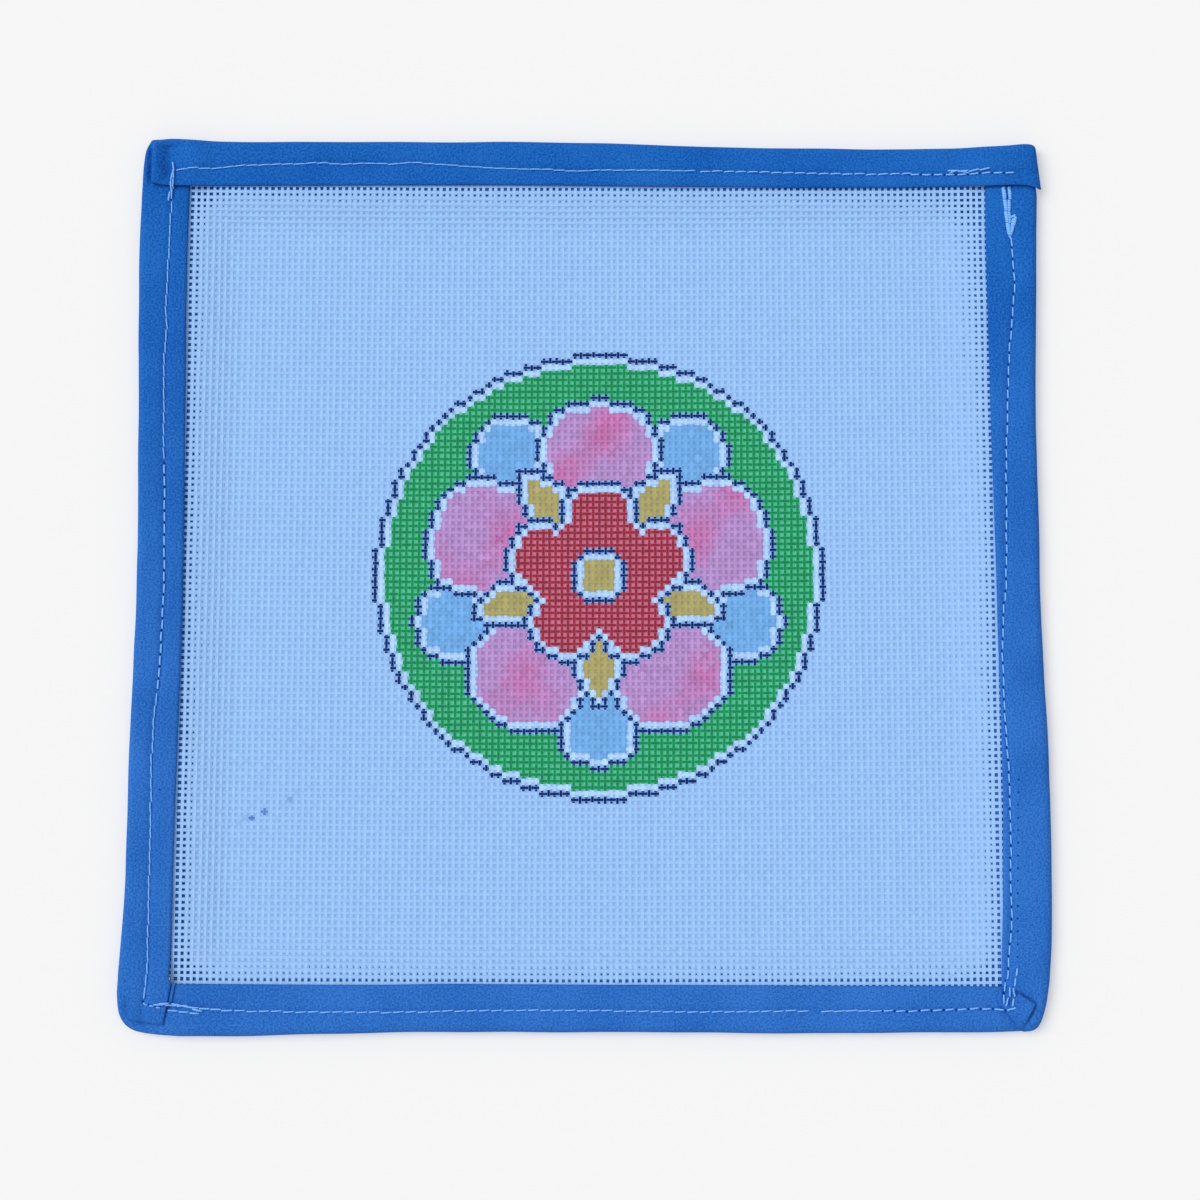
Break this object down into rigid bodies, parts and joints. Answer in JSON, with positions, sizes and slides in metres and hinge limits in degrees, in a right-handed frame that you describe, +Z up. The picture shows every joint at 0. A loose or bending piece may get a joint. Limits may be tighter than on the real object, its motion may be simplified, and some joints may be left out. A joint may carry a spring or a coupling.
{
  "type": "needlepoint canvas panel",
  "caption": "Flat square of open even-weave needlepoint canvas, its edges bound all round in folded, topstitched cotton tape.",
  "frame": {"origin": "centre of the panel's outline, on the surface it lies on", "axes": "+X to the panel's right, +Y to its top edge, +Z up out of its painted face"},
  "size_m": [0.2086, 0.2042, 0.0049],
  "materials": {
    "canvas": "stiff cotton even-weave canvas, pale blue with a painted round design, matt",
    "binding_tape": "royal blue plain-weave cotton tape, matt",
    "sewing_thread": "pale blue-white spun sewing thread, matt"
  },
  "bodies": {
    "root": {"canvas": "canvas", "binding_top": "binding_tape", "binding_left": "binding_tape", "binding_right": "binding_tape", "binding_bottom": "binding_tape"}
  },
  "joints": []
}
